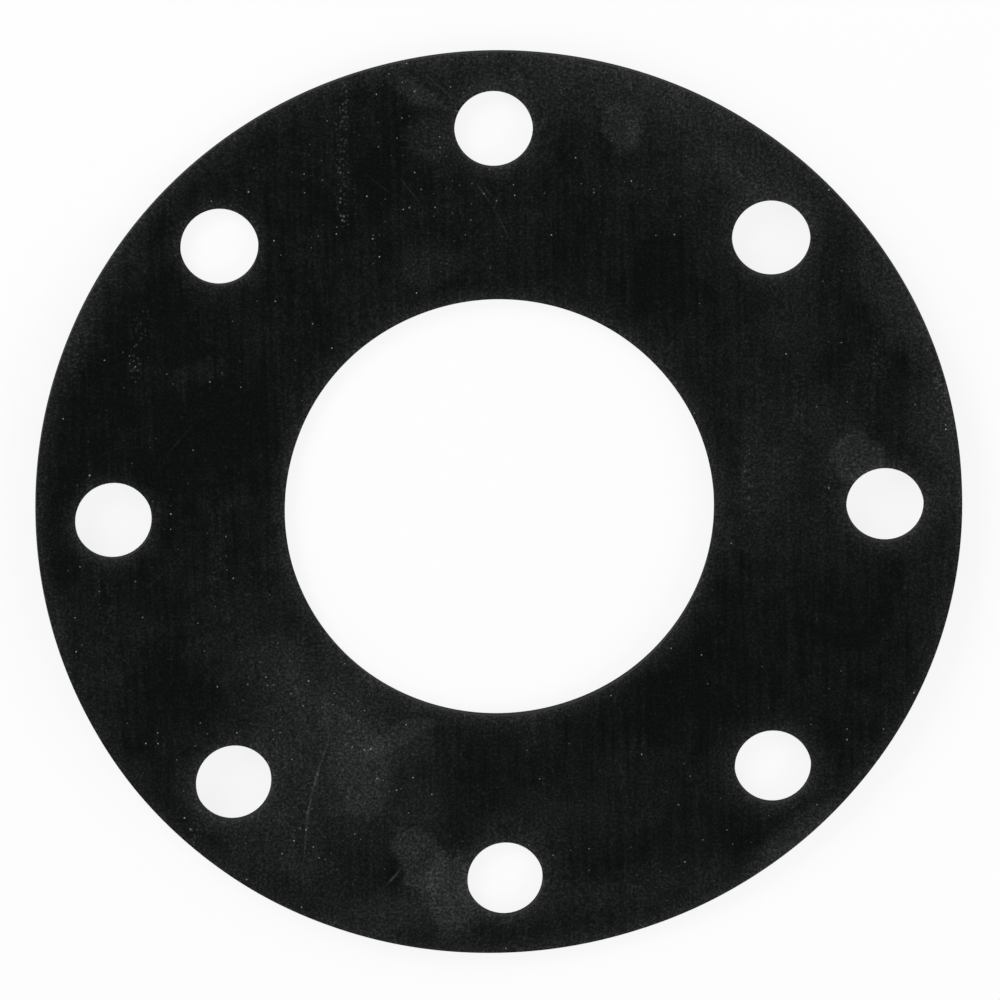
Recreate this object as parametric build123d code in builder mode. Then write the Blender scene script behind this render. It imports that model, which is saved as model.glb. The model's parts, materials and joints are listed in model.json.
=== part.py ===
from build123d import *
import os

# Full-face rubber flange gasket, die-cut in one piece from a flat sheet. It lies on its lower
# face. The origin is the centre of the bore on that face, +Z points out of the upper face, and
# one bolt hole lies on +X. Lengths are in millimetres.

# Sheet stock
sheet_thickness = 3.175  # 1/8 in

# Die, cut to a 4 in pipe's class 150 flange
bore_diameter = 106.0  # clears the pipe's bore
bolt_circle_diameter = 190.5  # 7 1/2 in
bolt_hole_diameter = 19.05  # 3/4 in, for 5/8 in bolts
bolt_hole_count = 8
rim_width = 9.525  # 3/8 in of rubber between a bolt hole and the outer edge
outer_diameter = bolt_circle_diameter + bolt_hole_diameter + 2 * rim_width  # 9 in

# The die's knives come from above and press the sheet down before they cut, so the edges that
# they enter at aren't quite sharp, and those that they leave at are
knife_edge_break = 0.2

with BuildPart() as gasket:
    with BuildSketch() as cut_shape:
        Circle(outer_diameter / 2)
        Circle(bore_diameter / 2, mode=Mode.SUBTRACT)
        with PolarLocations(bolt_circle_diameter / 2, bolt_hole_count):
            Circle(bolt_hole_diameter / 2, mode=Mode.SUBTRACT)
    extrude(amount=sheet_thickness)

    upper_face = gasket.faces().sort_by(Axis.Z)[-1]
    chamfer(upper_face.edges(), knife_edge_break)

gasket.part.label = "gasket"

os.makedirs("parts", exist_ok=True)
export_step(gasket.part, "parts/gasket.step")
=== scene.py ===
import json
from math import atan2, cos, degrees, hypot, pi, radians, sin

import bpy
from mathutils import Matrix, Vector, noise


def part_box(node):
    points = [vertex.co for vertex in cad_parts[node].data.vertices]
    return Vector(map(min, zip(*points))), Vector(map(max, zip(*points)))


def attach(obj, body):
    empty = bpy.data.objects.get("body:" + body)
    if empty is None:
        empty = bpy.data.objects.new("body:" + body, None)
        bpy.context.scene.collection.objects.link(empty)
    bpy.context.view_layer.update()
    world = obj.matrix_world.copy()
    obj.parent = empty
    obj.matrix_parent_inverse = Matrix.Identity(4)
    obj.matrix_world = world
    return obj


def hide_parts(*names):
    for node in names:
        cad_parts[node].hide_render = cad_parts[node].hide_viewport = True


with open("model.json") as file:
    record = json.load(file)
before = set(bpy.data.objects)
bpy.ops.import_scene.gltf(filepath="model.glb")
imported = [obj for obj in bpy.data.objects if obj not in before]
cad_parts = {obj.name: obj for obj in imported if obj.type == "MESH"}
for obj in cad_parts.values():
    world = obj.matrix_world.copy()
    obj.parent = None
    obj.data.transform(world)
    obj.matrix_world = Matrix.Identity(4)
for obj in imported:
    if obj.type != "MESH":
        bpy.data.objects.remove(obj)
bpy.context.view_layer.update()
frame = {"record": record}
mm = 0.001


def say(stage):
    print("stage:", stage)


# sizes of the sheet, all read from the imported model
mounts = {m["name"]: m for m in frame["record"]["mounts"]}
low, high = (Vector(c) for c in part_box("gasket"))
sheet = {
    "thickness": high.z - low.z,
    "outerRadius": high.x,
    "boreRadius": mounts["bore"]["dims"]["r_mm"] * mm,
    "boltCircleRadius": mounts["bolt_holes"]["dims"]["pcd_mm"] * mm / 2,
    "boltHoleRadius": mounts["bolt_holes"]["dims"]["hole_r_mm"] * mm,
    "boltHoles": mounts["bolt_holes"]["dims"]["count"],
}


# camera

cameraSetup = {
    "aim": (0.3 * mm, 1.5 * mm, 0.0),
    "distance": 1594 * mm,
    "lean": 14.1,  # degrees off straight down
    "leanTowards": 98.8,  # on the floor, anticlockwise from +X
    "turn": 0.8,  # the picture's upright, clockwise from +Y
    "lens": 232.5,
    "sensor": 36.0,
    "farthest": 20,  # m, how far it sees
}


def addCamera(setup):
    lean = radians(setup["lean"])
    towards = radians(setup["leanTowards"])
    turn = radians(setup["turn"])
    back = Vector((sin(lean) * cos(towards), sin(lean) * sin(towards), cos(lean)))
    right = Vector((sin(turn), cos(turn), 0)).cross(back).normalized()
    up = back.cross(right)
    bpy.ops.object.camera_add()
    camera = bpy.context.object
    camera.name = "camera"
    camera.data.lens = setup["lens"]
    camera.data.sensor_width = setup["sensor"]
    camera.data.clip_end = setup["farthest"]
    place = Matrix((right, up, back)).transposed().to_4x4()
    place.translation = Vector(setup["aim"]) + back * setup["distance"]
    camera.matrix_world = place
    bpy.context.scene.camera = camera


addCamera(cameraSetup)
say("camera")


# gasket

meshing = {
    "columns": 320,  # round the sheet
    "rows": 30,  # between the bore's and the rim's own rows
    "edgeRows": [0.3 * mm, 0.6 * mm, 1.0 * mm, 1.6 * mm],  # from every cut
    "window": 16,  # rows and columns that each bolt hole's own mesh takes
    "rings": 4,  # from a window to the rows of its hole
    "wallCuts": 3,  # across the thickness
    "upperRoundSteps": 3,
    "lowerRoundSteps": 1,
    "smoothAngle": 35,
}

# the knife drags the rubber down before it cuts, and the rubber springs back behind it
cutEdge = {
    "drag": 0.1 * mm,  # how far the upper face slopes down at a cut
    "dragWidth": 1.6 * mm,
    "hollow": 0.08 * mm,  # how far the middle of the wall springs back
    "upperRound": 0.1 * mm,
    "lowerRound": 0.04 * mm,
    "wander": 0.12 * mm,  # how far the cut strays from its circle
    "wanderLength": 35 * mm,
    "wanderSeed": 1,  # the noise would otherwise start from the clock
}

# the sheet keeps some of the curl of the roll that it was cut from: each side lifts off the
# floor past a straight line
curls = [
    {"towards": 16, "from": -29 * mm, "lift": 7.5 * mm},
    {"towards": 208, "from": 7 * mm, "lift": 8.2 * mm},
]

# long, low waves lie over the curl
waves = [
    {"height": 0.16 * mm, "length": 150 * mm, "towards": 20, "start": 0.6},
    {"height": 0.12 * mm, "length": 105 * mm, "towards": 118, "start": 2.1},
    {"height": 0.06 * mm, "length": 62 * mm, "towards": 71, "start": 4.0},
]


def deselectAll():
    for thing in bpy.context.selected_objects:
        thing.select_set(False)


def clearSelection(data):
    for parts in (data.vertices, data.edges, data.polygons):
        parts.foreach_set("select", [False] * len(parts))


def rowRadii(size, mesh):
    inner = [size["boreRadius"] + row for row in [0] + mesh["edgeRows"]]
    outer = [size["outerRadius"] - row for row in reversed([0] + mesh["edgeRows"])]
    step = (outer[0] - inner[-1]) / mesh["rows"]
    return inner + [inner[-1] + step * row for row in range(1, mesh["rows"])] + outer, step


def openRing(piece, radii):
    # a ring of quads, drawn out from the bore's edge row by row
    bpy.ops.object.mode_set(mode="EDIT")
    bpy.ops.mesh.select_all(action="SELECT")
    for last, radius in zip(radii, radii[1:]):
        bpy.ops.mesh.extrude_edges_move()
        bpy.ops.transform.resize(value=(radius / last, radius / last, 1), center_override=(0, 0, 0))
    bpy.ops.object.mode_set(mode="OBJECT")


def cutBoltHole(piece, size, mesh, turn):
    # takes a square window out of the ring, then draws its edge in to the hole's
    radii, step = rowRadii(size, mesh)
    middle = min(radii, key=lambda radius: abs(radius - size["boltCircleRadius"]))
    reach = mesh["window"] / 2 * step
    halfAngle = mesh["window"] / 2 * 360 / mesh["columns"]

    def inWindow(point, slack):
        off = abs((degrees(atan2(point.y, point.x)) - turn + 180) % 360 - 180)
        across = abs(hypot(point.x, point.y) - middle)
        return across < reach * (1 + slack) and off < halfAngle * (1 + slack)

    data = piece.data
    bpy.ops.object.mode_set(mode="EDIT")
    bpy.ops.mesh.select_mode(type="FACE")
    bpy.ops.mesh.select_all(action="DESELECT")
    bpy.ops.object.mode_set(mode="OBJECT")
    for face in data.polygons:
        face.select = inWindow(face.center, slack=0)
    bpy.ops.object.mode_set(mode="EDIT")
    bpy.ops.mesh.delete(type="FACE")
    bpy.ops.mesh.select_mode(type="EDGE")
    bpy.ops.mesh.select_non_manifold()
    bpy.ops.object.mode_set(mode="OBJECT")
    for edge in data.edges:
        between = (data.vertices[edge.vertices[0]].co + data.vertices[edge.vertices[1]].co) / 2
        edge.select = edge.select and inWindow(between, slack=0.02)
    for vertex in data.vertices:
        vertex.select = False

    centre = Vector((cos(radians(turn)), sin(radians(turn)), 0)) * size["boltCircleRadius"]
    edgeRows = list(reversed([0] + mesh["edgeRows"]))
    pulls = [(edgeRows[0], 1 / left) for left in range(mesh["rings"], 0, -1)]
    pulls += [(row, 1) for row in edgeRows[1:]]
    for row, pull in pulls:
        bpy.ops.object.mode_set(mode="EDIT")
        bpy.ops.mesh.extrude_edges_move()
        bpy.ops.object.mode_set(mode="OBJECT")
        for vertex in data.vertices:
            if vertex.select:
                out = vertex.co - centre
                aim = centre + out.normalized() * (size["boltHoleRadius"] + row)
                vertex.co = vertex.co.lerp(aim, pull)


def nearestCut(point, size):
    # how far the nearest cut is, and the way from it into the rubber
    flat = Vector((point.x, point.y, 0))
    outward = flat.normalized()
    pitch = 2 * pi / size["boltHoles"]
    turn = round(atan2(point.y, point.x) / pitch) * pitch
    away = flat - Vector((cos(turn), sin(turn), 0)) * size["boltCircleRadius"]
    cuts = [
        (flat.length - size["boreRadius"], outward),
        (size["outerRadius"] - flat.length, -outward),
        (away.length - size["boltHoleRadius"], away.normalized()),
    ]
    return min(cuts, key=lambda cut: cut[0])


def selectCutEdges(data, size, height):
    # the edges that run along the cuts at one height
    clearSelection(data)
    slack = 0.01 * mm
    onCut = []
    for vertex in data.vertices:
        atHeight = abs(vertex.co.z - height) < slack
        onCut.append(atHeight and nearestCut(vertex.co, size)[0] < slack)
    for edge in data.edges:
        edge.select = onCut[edge.vertices[0]] and onCut[edge.vertices[1]]


def roundCuts(piece, size, height, radius, segments):
    selectCutEdges(piece.data, size, height)
    bpy.ops.object.mode_set(mode="EDIT")
    bpy.ops.mesh.bevel(offset=radius, segments=segments, profile=0.5, affect="EDGES")
    bpy.ops.object.mode_set(mode="OBJECT")


def shapeWalls(piece, size, mesh, edge):
    data = piece.data
    clearSelection(data)
    for side in data.edges:
        first, second = (data.vertices[v].co for v in side.vertices)
        side.select = abs(first.z - second.z) > size["thickness"] / 2
    bpy.ops.object.mode_set(mode="EDIT")
    bpy.ops.mesh.subdivide(number_cuts=mesh["wallCuts"])
    bpy.ops.object.mode_set(mode="OBJECT")
    for vertex in data.vertices:
        distance, inward = nearestCut(vertex.co, size)
        up = vertex.co.z / size["thickness"]
        if 0.01 < up < 0.99:
            vertex.co += inward * edge["hollow"] * 4 * up * (1 - up)
        if up >= 0.99 and distance < edge["dragWidth"]:
            vertex.co.z -= edge["drag"] * (1 - max(distance, 0) / edge["dragWidth"]) ** 2
    upperEdge = size["thickness"] - edge["drag"]
    roundCuts(piece, size, upperEdge, edge["upperRound"], mesh["upperRoundSteps"])
    roundCuts(piece, size, 0, edge["lowerRound"], mesh["lowerRoundSteps"])


def rollUp(piece, curls, radius):
    # lays what is past each line on a cylinder that is tangent to the floor there
    for vertex in piece.data.vertices:
        flat = vertex.co.copy()
        for curl in curls:
            towards = radians(curl["towards"])
            along = Vector((cos(towards), sin(towards), 0))
            past = flat.dot(along) - curl["from"]
            if past > 0:
                bend = (radius - curl["from"]) ** 2 / (2 * curl["lift"])
                vertex.co += along * ((bend - flat.z) * sin(past / bend) - past)
                vertex.co.z += (bend - flat.z) * (1 - cos(past / bend))


def relax(piece, edge, waves):
    noise.seed_set(edge["wanderSeed"])
    for vertex in piece.data.vertices:
        point = vertex.co.copy()
        point.z = 0
        stray = noise.noise_vector(point / edge["wanderLength"]) * edge["wander"]
        vertex.co.x += stray.x
        vertex.co.y += stray.y
        for wave in waves:
            towards = radians(wave["towards"])
            along = point.x * cos(towards) + point.y * sin(towards)
            vertex.co.z += wave["height"] * sin(2 * pi * along / wave["length"] + wave["start"])
    lowest = min(vertex.co.z for vertex in piece.data.vertices)
    for vertex in piece.data.vertices:
        vertex.co.z -= lowest


def makeGasket():
    deselectAll()
    bpy.ops.mesh.primitive_circle_add(vertices=meshing["columns"], radius=sheet["boreRadius"])
    gasket = bpy.context.object
    gasket.name = "dieCutGasket"
    openRing(gasket, rowRadii(sheet, meshing)[0])
    for hole in range(sheet["boltHoles"]):
        cutBoltHole(gasket, sheet, meshing, hole * 360 / sheet["boltHoles"])
    bpy.ops.object.mode_set(mode="EDIT")
    bpy.ops.mesh.select_all(action="SELECT")
    bpy.ops.mesh.remove_doubles(threshold=0.01 * mm)
    bpy.ops.mesh.normals_make_consistent(inside=False)
    bpy.ops.mesh.select_mode(type="EDGE")
    bpy.ops.object.mode_set(mode="OBJECT")
    if gasket.data.polygons[0].normal.z < 0:
        gasket.data.flip_normals()
    wall = gasket.modifiers.new("thickness", "SOLIDIFY")
    wall.thickness = sheet["thickness"]
    wall.offset = 1
    bpy.ops.object.modifier_apply(modifier=wall.name)
    shapeWalls(gasket, sheet, meshing, cutEdge)
    rollUp(gasket, curls, sheet["outerRadius"])
    relax(gasket, cutEdge, waves)
    bpy.ops.object.shade_smooth_by_angle(angle=radians(meshing["smoothAngle"]))
    return gasket


gasket = makeGasket()
say("gasket, %d faces" % len(gasket.data.polygons))


# materials

def linear(hexColour):
    channels = [int(hexColour[i:i + 2], 16) / 255 for i in (1, 3, 5)]
    evened = [c / 12.92 if c <= 0.04045 else ((c + 0.055) / 1.055) ** 2.4 for c in channels]
    return (*evened, 1)


def addNode(tree, kind, settings=None, inputs=None):
    node = tree.nodes.new(kind)
    for name, value in (settings or {}).items():
        setattr(node, name, value)
    for name, value in (inputs or {}).items():
        if isinstance(value, bpy.types.Node):
            value = value.outputs[0]
        if isinstance(value, bpy.types.NodeSocket):
            tree.links.new(value, node.inputs[name])
        else:
            node.inputs[name].default_value = value
    return node


def newMaterial(name):
    material = bpy.data.materials.new(name)
    material.use_nodes = True
    material.node_tree.nodes.clear()
    return material, material.node_tree


# Black sheet rubber, calendered between steel rolls. It is matt and nearly black, with a fine
# mottle from the rolls and faint lines along the way that it ran. Talc from the roll and dust
# from handling lie on it as pale film, smudges, dotted streaks and specks. The same pale film
# also carries painted sheen and painted shade in broad patches, and a painted highlight along
# every cut.
rubber = {
    "bare": "#040605",
    # pale film colour, also used for the painted sheen and the painted highlight
    "filmAndPaintedLight": "#4E504F",
    "dust": "#8E908E",
    "roughness": 0.62,
    "filmRoughness": 0.3,  # more where film or painted light lies
    "specular": 0.02,
    "evenFilm": 0.056,  # film that lies everywhere
    "leastFilm": 0.025,  # and what is left in the barest places
    "cloudSize": 26,  # mm, as are all sizes below
    "cloudShow": 0.022,
    "blotchSize": 6,
    "blotchShow": 0.022,
    "lineWidth": 1.1,
    "lineLength": 24,
    "lineShow": 0.022,
    "mottleSize": 0.6,
    "mottleMiddle": 0.52,
    "mottleContrast": 5.8,
    "patternRange": (0.3, 0.7),  # where the values of a noise pattern mostly lie
    "wanderSize": 12,
    "wander": 4.5,  # how far the outline of a smudge or of a painted patch strays
    "scratchBreaks": (0.4, 0.55),  # mottle at which a scratch fades and at which it is whole
    "scratchLeast": 0.4,
    "scratchDepth": 4.0,  # against the height of the mottle
    "relief": 0.02,
    # painted highlight along the cuts: how far it fades out, in mm, and how strong it is
    "edgeHighlightFade": 1.9,
    "edgeHighlightShow": 0.195,
}

# film that was wiped or breathed on, and barer places, partly painted sheen in the lighter patches
# and painted shade in the darker ones, following the tilt of the curled sheet: middle, half sizes,
# turn and how much of it shows; the lower the edge, the sharper the outline
smudgesAndPaintedLight = [
    {"at": (-41, -66), "size": (42, 32), "turn": 25, "show": 0.11},
    {"at": (-46, -46), "size": (28, 17), "turn": -42, "show": 0.13},
    {"at": (-64, -34), "size": (26, 18), "turn": -50, "show": 0.06},
    {"at": (-35, -65), "size": (9, 15), "turn": 12, "edge": 0.45, "show": 0.10},
    {"at": (-58, -58), "size": (17, 10), "turn": -45, "show": 0.07},
    {"at": (-26, -57), "size": (12, 3.4), "turn": 26, "edge": 0.35, "show": 0.10},
    {"at": (-23, -61), "size": (10, 6), "turn": 20, "edge": 0.7, "show": 0.05},
    {"at": (-22, -89), "size": (7, 10), "turn": 24, "edge": 0.35, "show": 0.15},
    {"at": (-20, -78), "size": (9, 12), "turn": 0, "show": 0.06},
    {"at": (-13.5, -98), "size": (8, 14), "turn": 8, "edge": 0.5, "show": 0.13},
    {"at": (-21, -101), "size": (30, 10), "turn": 8, "edge": 0.8, "show": 0.11},
    {"at": (-50, -92), "size": (26, 10), "turn": -28, "show": 0.07},
    {"at": (12, -80), "size": (22, 14), "turn": 0, "show": 0.05},
    {"at": (32, -98), "size": (34, 9), "turn": 14, "show": 0.06},
    {"at": (20, 107), "size": (62, 16), "turn": -4, "show": 0.11},
    {"at": (62, 84), "size": (34, 16), "turn": -38, "show": 0.14},
    {"at": (96, 54), "size": (26, 10), "turn": -60, "show": 0.11},
    {"at": (108, 20), "size": (10, 34), "turn": 10, "show": 0.11},
    {"at": (105, -18), "size": (9, 30), "turn": -12, "show": 0.03},
    {"at": (-19, 104), "size": (10, 3.5), "turn": -28, "edge": 0.5, "show": 0.12},
    {"at": (-17, 93), "size": (8, 7), "turn": 30, "edge": 0.6, "show": 0.07},
    {"at": (31, 95.5), "size": (7, 8), "turn": 20, "edge": 0.3, "show": 0.10},
    {"at": (34, 93.5), "size": (2.4, 6), "turn": 15, "show": 0.10},
    {"at": (44, 100), "size": (5, 10), "turn": 10, "edge": 0.8, "show": 0.05},
    {"at": (-16, 62), "size": (13, 6), "turn": 5, "edge": 0.7, "show": 0.07},
    {"at": (88, 11.5), "size": (7, 8), "turn": 20, "edge": 0.3, "show": 0.13},
    {"at": (63, 8), "size": (14, 36), "turn": 0, "show": 0.075},
    {"at": (72, 48), "size": (14, 20), "turn": -20, "show": 0.06},
    {"at": (76, 14), "size": (20, 34), "turn": 0, "show": 0.04},
    {"at": (-74, 37), "size": (9, 5), "turn": 10, "edge": 0.7, "show": 0.05},
    {"at": (73, -86), "size": (18, 7), "turn": 42, "edge": 0.6, "show": 0.11},
    {"at": (-92, 26), "size": (46, 84), "turn": -8, "show": -0.03},
    {"at": (-56, 34), "size": (30, 40), "turn": 25, "show": -0.03},
    {"at": (-64, 0), "size": (17, 30), "turn": 0, "show": -0.025},
    {"at": (-98, 54), "size": (12, 28), "turn": -30, "show": 0.05},
    {"at": (66, -42), "size": (54, 56), "turn": 0, "show": -0.03},
    {"at": (36, 60), "size": (22, 18), "turn": -30, "show": -0.03},
    {"at": (34, -50), "size": (32, 18), "turn": 45, "show": -0.03},
    {"at": (-34, 80), "size": (30, 34), "turn": 20, "show": -0.03},
    {"at": (-95, 0), "size": (22, 22), "turn": 0, "show": -0.05},
    {"at": (-67, 67), "size": (22, 22), "turn": 0, "show": -0.05},
]

# talc in dotted streaks along the way that the sheet ran
streaks = [
    {"at": (-37.2, 92), "size": (2.6, 19), "turn": 0, "edge": 0.7, "show": 0.5},
    {"at": (-37.4, 77), "size": (1.4, 4.5), "turn": 4, "edge": 0.7, "show": 1.5},
    {"at": (-36.8, 73.5), "size": (1.2, 2.4), "turn": -14, "edge": 0.7, "show": 2.0},
    {"at": (-36.0, 104), "size": (1.6, 8), "turn": 3, "edge": 0.6, "show": 0.5},
    {"at": (-88.4, 39), "size": (1.8, 7), "turn": 0, "edge": 0.7, "show": 0.9},
    {"at": (-87, 48), "size": (3.2, 10), "turn": -8, "show": 0.5},
    {"at": (-102, 44), "size": (3.6, 14), "turn": -12, "show": 0.4},
    {"at": (-98, -22), "size": (5, 30), "turn": 4, "show": 0.25},
    {"at": (-70, -8), "size": (4, 34), "turn": 0, "show": 0.22},
    {"at": (61, 7), "size": (2.4, 16), "turn": 2, "edge": 0.8, "show": 0.6},
    {"at": (74, 26), "size": (3, 26), "turn": 0, "show": 0.3},
    {"at": (92, 36), "size": (6, 12), "turn": -8, "show": 0.35},
    {"at": (109, 26), "size": (2.6, 16), "turn": 12, "edge": 0.8, "show": 0.8},
    {"at": (16.5, 105), "size": (1.0, 9), "turn": 0, "edge": 0.7, "show": 0.6},
    {"at": (-76, -78), "size": (5, 14), "turn": -30, "show": 0.4},
]

# where the specks lie thicker
dustier = [
    {"at": (-24, 84), "size": (40, 36), "turn": 0, "edge": 0.6, "show": 0.26},
    {"at": (-22, 104), "size": (10, 6), "turn": -20, "show": 0.5},
    {"at": (-48, -62), "size": (36, 40), "turn": 20, "edge": 0.6, "show": 0.26},
    {"at": (-86, 0), "size": (34, 70), "turn": 0, "show": 0.12},
    {"at": (20, -84), "size": (60, 26), "turn": 0, "show": 0.08},
    {"at": (20, 84), "size": (40, 30), "turn": 0, "show": 0.10},
]

# fine scratches: middle, half length by half width, turn from +X and how far the middle bows
scratches = [
    {"at": (-43.6, -52.7), "size": (6, 0.4), "turn": 95, "show": 0.16},
    {"at": (-44.4, -60.5), "size": (5, 0.5), "turn": 68, "show": 0.36},
    {"at": (-46.6, -67.0), "size": (5.5, 0.5), "turn": 73, "show": 0.46},
    {"at": (-48.4, -74.0), "size": (6, 0.5), "turn": 79, "show": 0.46},
    {"at": (-49.5, -82.0), "size": (7.5, 0.4), "turn": 84, "show": 0.34},
    {"at": (-52.6, -87), "size": (5, 0.35), "turn": 90, "show": 0.12},
    {"at": (-50.4, -92), "size": (7, 0.35), "turn": 91, "show": 0.16},
    {"at": (-54.5, -77.3), "size": (5, 0.35), "turn": 122, "show": 0.16},
    {"at": (-27.8, -93.3), "size": (4, 0.5), "turn": 48, "bow": -0.2, "show": 0.45},
    {"at": (-38.9, -51.7), "size": (5, 0.45), "turn": -29, "bow": 0.5, "show": 0.18},
    {"at": (-3, 79.7), "size": (4.5, 0.35), "turn": 125, "show": 0.24},
    {"at": (-1.8, 80), "size": (4, 0.3), "turn": 125, "show": 0.18},
    {"at": (1.8, 71.4), "size": (7.5, 0.3), "turn": 116, "show": 0.2},
    {"at": (0.2, 77), "size": (4, 0.35), "turn": 68, "show": 0.14},
    {"at": (-21, 81), "size": (5.5, 0.3), "turn": 127, "show": 0.16},
    {"at": (-28, 82), "size": (6, 0.3), "turn": 140, "show": 0.12},
    {"at": (-14, 107), "size": (7, 0.3), "turn": 137, "show": 0.16},
    {"at": (-16, 90), "size": (7, 0.3), "turn": 135, "show": 0.14},
    {"at": (14, 88), "size": (6, 0.3), "turn": 138, "show": 0.1},
    {"at": (-78, 20), "size": (9, 0.3), "turn": 48, "show": 0.09},
    {"at": (-84, -14), "size": (8, 0.3), "turn": 40, "show": 0.08},
]

# round spots: the cell that holds one, the radii, the share of the cells that have one, a power
# that leaves few of them bright, and the share of the radius that is solid
specks = {
    "spacing": 1.5, "smallest": 0.08, "largest": 0.26, "share": 0.04, "fewBright": 6, "core": 0.6,
}
talcDots = {
    "spacing": 0.9, "smallest": 0.25, "largest": 0.55, "share": 0.75, "fewBright": 1, "core": 0.0,
}
powder = {
    "spacing": 2.6, "smallest": 0.25, "largest": 0.6, "share": 0.5, "fewBright": 3, "core": 0.0,
    "show": 0.12,
}


def addMarks(tree, place, marks):
    # the sum of soft ovals, each strongest in its middle
    total = None
    for mark in marks:
        spot = addNode(tree, "ShaderNodeMapping", {"vector_type": "TEXTURE"}, {
            "Vector": place, "Location": (*mark["at"], 0),
            "Rotation": (0, 0, radians(mark["turn"])), "Scale": (*mark["size"], 1e6)})
        if "bow" in mark:
            parts = addNode(tree, "ShaderNodeSeparateXYZ", inputs={0: spot})
            square = addNode(tree, "ShaderNodeMath", {"operation": "MULTIPLY"}, {
                0: parts.outputs[0], 1: parts.outputs[0]})
            bent = addNode(tree, "ShaderNodeMath", {"operation": "MULTIPLY_ADD"}, {
                0: square, 1: mark["bow"] / mark["size"][1], 2: parts.outputs[1]})
            spot = addNode(tree, "ShaderNodeCombineXYZ", inputs={0: parts.outputs[0], 1: bent})
        oval = addNode(tree, "ShaderNodeTexGradient", {"gradient_type": "SPHERICAL"}, {
            "Vector": spot})
        share = addNode(tree, "ShaderNodeMapRange", {"interpolation_type": "SMOOTHSTEP"}, {
            "Value": oval.outputs["Fac"], "From Max": mark.get("edge", 1.0),
            "To Max": mark["show"]})
        if total is None:
            total = share
        else:
            total = addNode(tree, "ShaderNodeMath", {"operation": "ADD"}, {0: total, 1: share})
    return total


def addSpots(tree, place, spots, share):
    cells = addNode(tree, "ShaderNodeTexVoronoi", {"voronoi_dimensions": "2D"}, {
        "Vector": place, "Scale": 1 / spots["spacing"]})
    draw = addNode(tree, "ShaderNodeSeparateColor", inputs={0: cells.outputs["Color"]})
    radius = addNode(tree, "ShaderNodeMapRange", inputs={
        "Value": draw.outputs[1], "To Min": spots["smallest"] / spots["spacing"],
        "To Max": spots["largest"] / spots["spacing"]})
    past = addNode(tree, "ShaderNodeMath", {"operation": "DIVIDE"}, {
        0: cells.outputs["Distance"], 1: radius})
    disc = addNode(tree, "ShaderNodeMapRange", {"interpolation_type": "SMOOTHSTEP"}, {
        "Value": past, "From Min": 1.0, "From Max": spots["core"]})
    chosen = addNode(tree, "ShaderNodeMath", {"operation": "LESS_THAN"}, {
        0: draw.outputs[0], 1: share})
    bright = addNode(tree, "ShaderNodeMath", {"operation": "POWER"}, {
        0: draw.outputs[2], 1: spots["fewBright"]})
    shown = addNode(tree, "ShaderNodeMath", {"operation": "MULTIPLY"}, {0: chosen, 1: bright})
    return addNode(tree, "ShaderNodeMath", {"operation": "MULTIPLY"}, {0: shown, 1: disc})


def addCutDistance(tree, inMm, size):
    # how far the nearest cut is, in mm: the bore, the rim or a bolt hole
    parts = addNode(tree, "ShaderNodeSeparateXYZ", inputs={0: inMm})
    flat = addNode(tree, "ShaderNodeCombineXYZ", inputs={
        0: parts.outputs[0], 1: parts.outputs[1]})
    radius = addNode(tree, "ShaderNodeVectorMath", {"operation": "LENGTH"}, {
        0: flat}).outputs["Value"]
    angle = addNode(tree, "ShaderNodeMath", {"operation": "ARCTAN2"}, {
        0: parts.outputs[1], 1: parts.outputs[0]})
    off = addNode(tree, "ShaderNodeMath", {"operation": "PINGPONG"}, {
        0: angle, 1: pi / size["boltHoles"]})
    polarPlace = addNode(tree, "ShaderNodeVectorRotate", {"rotation_type": "Z_AXIS"}, {
        "Vector": addNode(tree, "ShaderNodeCombineXYZ", inputs={0: radius}), "Angle": off})
    fromHole = addNode(tree, "ShaderNodeVectorMath", {"operation": "DISTANCE"}, {
        0: polarPlace, 1: (size["boltCircleRadius"] / mm, 0, 0)}).outputs["Value"]
    hole = addNode(tree, "ShaderNodeMath", {"operation": "SUBTRACT"}, {
        0: fromHole, 1: size["boltHoleRadius"] / mm})
    bore = addNode(tree, "ShaderNodeMath", {"operation": "SUBTRACT"}, {
        0: radius, 1: size["boreRadius"] / mm})
    rim = addNode(tree, "ShaderNodeMath", {"operation": "SUBTRACT"}, {
        0: size["outerRadius"] / mm, 1: radius})
    ring = addNode(tree, "ShaderNodeMath", {"operation": "MINIMUM"}, {0: bore, 1: rim})
    return addNode(tree, "ShaderNodeMath", {"operation": "MINIMUM"}, {0: ring, 1: hole})


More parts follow.
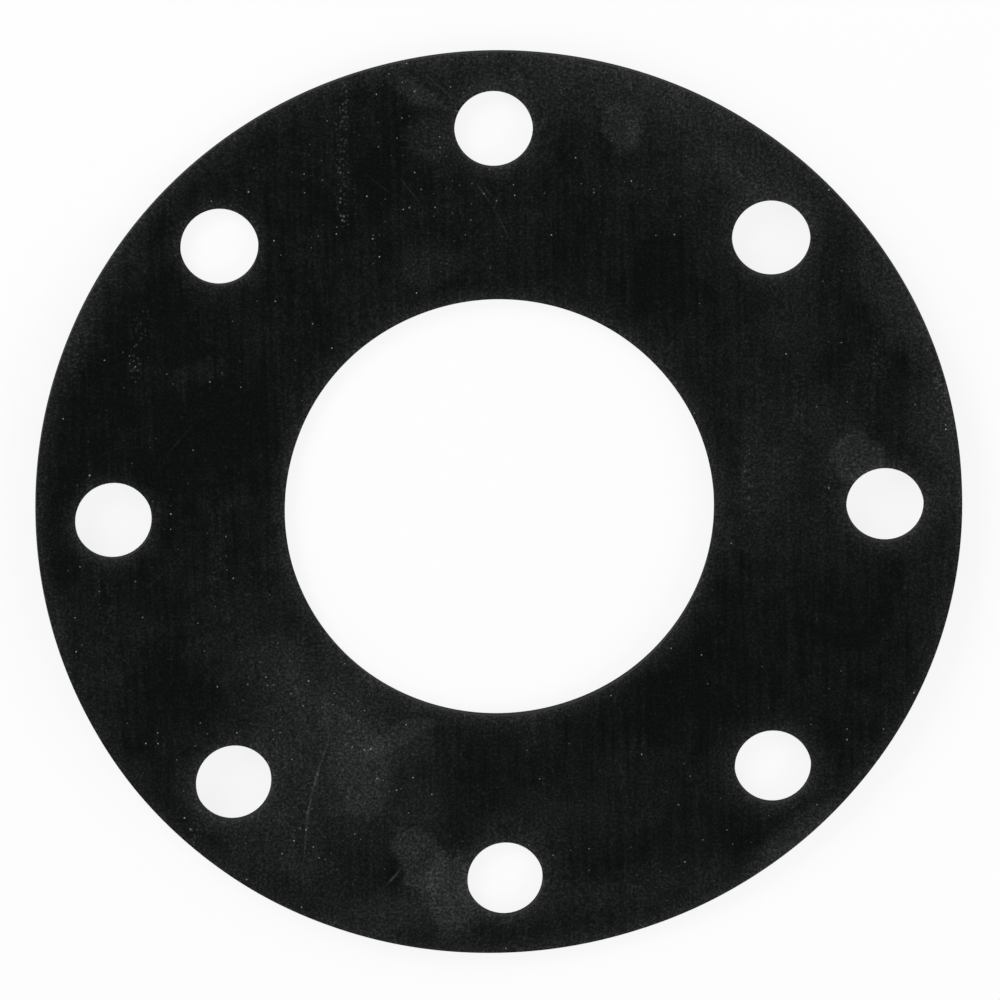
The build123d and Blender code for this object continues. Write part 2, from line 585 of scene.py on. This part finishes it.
def calenderedRubber(look, size):
    material, tree = newMaterial("calendered black rubber, dust and painted light")
    coordinates = addNode(tree, "ShaderNodeTexCoord")
    inMm = addNode(tree, "ShaderNodeVectorMath", {"operation": "SCALE"}, {
        0: coordinates.outputs["Object"], "Scale": 1 / mm})

    # the smudges and the patches of painted sheen and painted shade have uneven outlines
    wander = look["wander"]
    stray = addNode(tree, "ShaderNodeTexNoise", inputs={
        "Vector": inMm, "Scale": 1 / look["wanderSize"], "Detail": 3.0})
    wandering = addNode(tree, "ShaderNodeVectorMath", {"operation": "MULTIPLY_ADD"}, {
        0: stray.outputs["Color"], 1: (2 * wander, 2 * wander, 0), 2: inMm})
    wandering = addNode(tree, "ShaderNodeVectorMath", {"operation": "ADD"}, {
        0: wandering, 1: (-wander, -wander, 0)})

    clouds = addNode(tree, "ShaderNodeTexNoise", inputs={
        "Vector": inMm, "Scale": 1 / look["cloudSize"], "Detail": 2.0})
    blotches = addNode(tree, "ShaderNodeTexNoise", inputs={
        "Vector": inMm, "Scale": 1 / look["blotchSize"], "Detail": 3.0, "Roughness": 0.6})
    mottle = addNode(tree, "ShaderNodeTexNoise", inputs={
        "Vector": inMm, "Scale": 1 / look["mottleSize"], "Detail": 3.0, "Roughness": 0.65})
    run = addNode(tree, "ShaderNodeMapping", inputs={
        "Vector": inMm, "Scale": (1 / look["lineWidth"], 1 / look["lineLength"], 1)})
    lines = addNode(tree, "ShaderNodeTexNoise", inputs={"Vector": run, "Scale": 1.0, "Detail": 2.0})

    # patches of film and barer rubber, partly painted sheen and painted shade
    filmAndPaintedLight = addMarks(tree, wandering, smudgesAndPaintedLight)
    least, most = look["patternRange"]
    patterns = {"cloudShow": clouds, "blotchShow": blotches, "lineShow": lines}
    for name, pattern in patterns.items():
        spread = addNode(tree, "ShaderNodeMapRange", {"clamp": False}, {
            "Value": pattern.outputs["Fac"], "From Min": least, "From Max": most,
            "To Min": -look[name], "To Max": look[name]})
        filmAndPaintedLight = addNode(tree, "ShaderNodeMath", {"operation": "ADD"}, {0: filmAndPaintedLight, 1: spread})
    filmAndPaintedLight = addNode(tree, "ShaderNodeMath", {"operation": "ADD"}, {0: filmAndPaintedLight, 1: look["evenFilm"]})

    # painted highlight: paler beside every cut, where the rounded, dragged-down edge catches the
    # light
    distance = addCutDistance(tree, inMm, size)
    nearness = addNode(tree, "ShaderNodeMath", {"operation": "MULTIPLY"}, {
        0: distance, 1: -1 / look["edgeHighlightFade"]})
    paintedEdgeHighlight = addNode(tree, "ShaderNodeMath", {"operation": "EXPONENT"}, {0: nearness})
    filmAndPaintedLight = addNode(tree, "ShaderNodeMath", {"operation": "MULTIPLY_ADD"}, {
        0: paintedEdgeHighlight, 1: look["edgeHighlightShow"], 2: filmAndPaintedLight})

    # the film and the painted light lie in grains, few of them bright
    filmAndPaintedLight = addNode(tree, "ShaderNodeMath", {"operation": "MAXIMUM"}, {
        0: filmAndPaintedLight, 1: look["leastFilm"]})
    contrast = look["mottleContrast"]
    grain = addNode(tree, "ShaderNodeMath", {"operation": "MULTIPLY_ADD"}, {
        0: mottle.outputs["Fac"], 1: contrast, 2: -look["mottleMiddle"] * contrast})
    grain = addNode(tree, "ShaderNodeMath", {"operation": "EXPONENT"}, {0: grain})
    filmAndPaintedLight = addNode(tree, "ShaderNodeMath", {"operation": "MULTIPLY"}, {0: filmAndPaintedLight, 1: grain})

    talc = addMarks(tree, inMm, streaks)
    dots = addSpots(tree, inMm, talcDots, talcDots["share"])
    filmAndPaintedLight = addNode(tree, "ShaderNodeMath", {"operation": "MULTIPLY_ADD"}, {
        0: talc, 1: dots, 2: filmAndPaintedLight})
    spots = addSpots(tree, inMm, powder, powder["share"])
    filmAndPaintedLight = addNode(tree, "ShaderNodeMath", {"operation": "MULTIPLY_ADD"}, {
        0: spots, 1: powder["show"], 2: filmAndPaintedLight})

    # scratches fade between the lumps of the mottle
    marks = addMarks(tree, inMm, scratches)
    faded, whole = look["scratchBreaks"]
    breaks = addNode(tree, "ShaderNodeMapRange", inputs={
        "Value": mottle.outputs["Fac"], "From Min": faded, "From Max": whole,
        "To Min": look["scratchLeast"]})
    filmAndPaintedLight = addNode(tree, "ShaderNodeMath", {"operation": "MULTIPLY_ADD"}, {
        0: marks, 1: breaks, 2: filmAndPaintedLight})

    share = addNode(tree, "ShaderNodeMath", {"operation": "ADD"}, {
        0: addMarks(tree, inMm, dustier), 1: specks["share"]})
    specksShown = addSpots(tree, inMm, specks, share)

    colour = addNode(tree, "ShaderNodeMix", {"data_type": "RGBA"}, {
        0: filmAndPaintedLight, 6: linear(look["bare"]), 7: linear(look["filmAndPaintedLight"])})
    dusty = addNode(tree, "ShaderNodeMix", {"data_type": "RGBA"}, {
        0: specksShown, 6: colour.outputs[2], 7: linear(look["dust"])})
    roughness = addNode(tree, "ShaderNodeMath", {"operation": "MULTIPLY_ADD", "use_clamp": True}, {
        0: filmAndPaintedLight, 1: look["filmRoughness"], 2: look["roughness"]})
    height = addNode(tree, "ShaderNodeMath", {"operation": "ADD"}, {
        0: mottle.outputs["Fac"], 1: specksShown})
    height = addNode(tree, "ShaderNodeMath", {"operation": "MULTIPLY_ADD"}, {
        0: marks, 1: -look["scratchDepth"], 2: height})
    bump = addNode(tree, "ShaderNodeBump", inputs={
        "Strength": 1.0, "Distance": look["relief"] * mm, "Height": height})
    shader = addNode(tree, "ShaderNodeBsdfPrincipled", inputs={
        "Base Color": dusty.outputs[2], "Roughness": roughness,
        "Specular IOR Level": look["specular"], "Normal": bump})
    addNode(tree, "ShaderNodeOutputMaterial", inputs={"Surface": shader})
    return material


# The same rubber where a steel-rule die went through it: matt, a little paler than the face,
# with fine lines the way that the knife went.
cutRubber = {
    "bare": "#151615",
    "drawn": "#2E2E2C",
    "roughness": 0.8,
    "specular": 0.08,
    "lineWidth": 0.35,  # mm, as are the next two
    "lineLength": 9,
    "relief": 0.03,
}


def dieCutRubber(look):
    material, tree = newMaterial("die-cut black rubber")
    coordinates = addNode(tree, "ShaderNodeTexCoord")
    inMm = addNode(tree, "ShaderNodeVectorMath", {"operation": "SCALE"}, {
        0: coordinates.outputs["Object"], "Scale": 1 / mm})
    across, along = 1 / look["lineWidth"], 1 / look["lineLength"]
    down = addNode(tree, "ShaderNodeMapping", inputs={
        "Vector": inMm, "Scale": (across, across, along)})
    lines = addNode(tree, "ShaderNodeTexNoise", inputs={
        "Vector": down, "Scale": 1.0, "Detail": 3.0})
    colour = addNode(tree, "ShaderNodeMix", {"data_type": "RGBA"}, {
        0: lines.outputs["Fac"], 6: linear(look["bare"]), 7: linear(look["drawn"])})
    bump = addNode(tree, "ShaderNodeBump", inputs={
        "Strength": 1.0, "Distance": look["relief"] * mm, "Height": lines.outputs["Fac"]})
    shader = addNode(tree, "ShaderNodeBsdfPrincipled", inputs={
        "Base Color": colour.outputs[2], "Roughness": look["roughness"],
        "Specular IOR Level": look["specular"], "Normal": bump})
    addNode(tree, "ShaderNodeOutputMaterial", inputs={"Surface": shader})
    return material


gasket.data.materials.append(calenderedRubber(rubber, sheet))
gasket.data.materials.append(dieCutRubber(cutRubber))
for face in gasket.data.polygons:
    upright = abs(face.normal.z) < 0.5
    face.material_index = 1 if upright else 0
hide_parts("gasket")
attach(gasket, "root")
say("rubber")


# floor, world and lamps

def addSeen(tree):
    # 1 where a thing is looked at, straight or in a shiny or clear one
    path = addNode(tree, "ShaderNodeLightPath")
    seen = addNode(tree, "ShaderNodeMath", {"operation": "MAXIMUM"}, {
        0: path.outputs["Is Camera Ray"], 1: path.outputs["Is Glossy Ray"]})
    return addNode(tree, "ShaderNodeMath", {"operation": "MAXIMUM"}, {
        0: seen, 1: path.outputs["Is Transmission Ray"]})


floorSetup = {
    "size": 6,
    "paper": "#F2F2F2",
    "glow": 0.85,  # share of the paper that looks lit from within, so that it reads as white
}

lamps = [
    {"name": "keyLamp", "place": (-1.2, 1.4, 1.4), "size": 1.2, "power": 30},
    {"name": "fillLamp", "place": (1.5, -1.0, 1.2), "size": 1.4, "power": 18},
]

roomLevel = 0.5


def addFloor(setup):
    deselectAll()
    bpy.ops.mesh.primitive_plane_add(size=setup["size"])
    floor = bpy.context.object
    floor.name = "floor"
    material, tree = newMaterial("white paper sweep")
    share = addNode(tree, "ShaderNodeMath", {"operation": "MULTIPLY"}, {
        0: addSeen(tree), 1: setup["glow"]})
    paper = addNode(tree, "ShaderNodeBsdfDiffuse", inputs={"Color": linear(setup["paper"])})
    glow = addNode(tree, "ShaderNodeEmission", inputs={"Color": (1, 1, 1, 1), "Strength": 1.0})
    mixed = addNode(tree, "ShaderNodeMixShader", inputs={0: share, 1: paper, 2: glow})
    addNode(tree, "ShaderNodeOutputMaterial", inputs={"Surface": mixed})
    floor.data.materials.append(material)


def addLamp(setup):
    bpy.ops.object.light_add(type="AREA", location=setup["place"])
    lamp = bpy.context.object
    lamp.name = setup["name"]
    lamp.data.shape = "DISK"
    lamp.data.size = setup["size"]
    lamp.data.energy = setup["power"]
    lamp.rotation_euler = (-Vector(setup["place"])).to_track_quat("-Z", "Y").to_euler()


def lightWorld(level):
    world = bpy.data.worlds.new("white room")
    world.use_nodes = True
    tree = world.node_tree
    tree.nodes.clear()
    strength = addNode(tree, "ShaderNodeMix", inputs={0: addSeen(tree), 2: level, 3: 1.0})
    room = addNode(tree, "ShaderNodeBackground", inputs={
        "Color": (1, 1, 1, 1), "Strength": strength})
    addNode(tree, "ShaderNodeOutputWorld", inputs={"Surface": room})
    bpy.context.scene.world = world


addFloor(floorSetup)
for lamp in lamps:
    addLamp(lamp)
lightWorld(roomLevel)
bpy.context.scene.view_settings.view_transform = "Standard"
say("floor, lamps and world")
